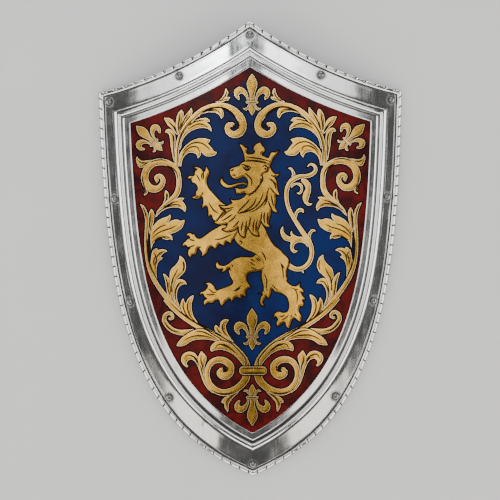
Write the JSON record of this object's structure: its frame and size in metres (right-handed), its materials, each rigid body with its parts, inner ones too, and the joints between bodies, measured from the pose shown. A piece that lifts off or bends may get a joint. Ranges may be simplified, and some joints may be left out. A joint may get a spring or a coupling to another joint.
{
  "type": "heater shield",
  "caption": "Convex heater shield: painted steel panel in a riveted, moulded steel border with a roped rolled edge, lying on its back.",
  "frame": {"origin": "on the ground under the middle of the shield's bounding box, lying face up", "axes": "+Z out of the painted face, +Y from the tip to the peak, +X to the right as the face is seen"},
  "size_m": [0.468, 0.7, 0.037],
  "materials": {
    "border_steel": "polished, with fine streaks and small dents",
    "rivet_steel": "polished",
    "painted_panel": "deep blue and crimson enamel with gilded and engraved ornament"
  },
  "bodies": {
    "root": {"border": "border_steel", "panel": "painted_panel", "rivet_peak": "rivet_steel", "rivet_tip": "rivet_steel", "rivet_top_right": "rivet_steel", "rivet_top_left": "rivet_steel", "rivet_corner_right": "rivet_steel", "rivet_corner_left": "rivet_steel", "rivet_side_1_right": "rivet_steel", "rivet_side_1_left": "rivet_steel", "rivet_side_2_right": "rivet_steel", "rivet_side_2_left": "rivet_steel", "rivet_side_3_right": "rivet_steel", "rivet_side_3_left": "rivet_steel"}
  },
  "joints": []
}
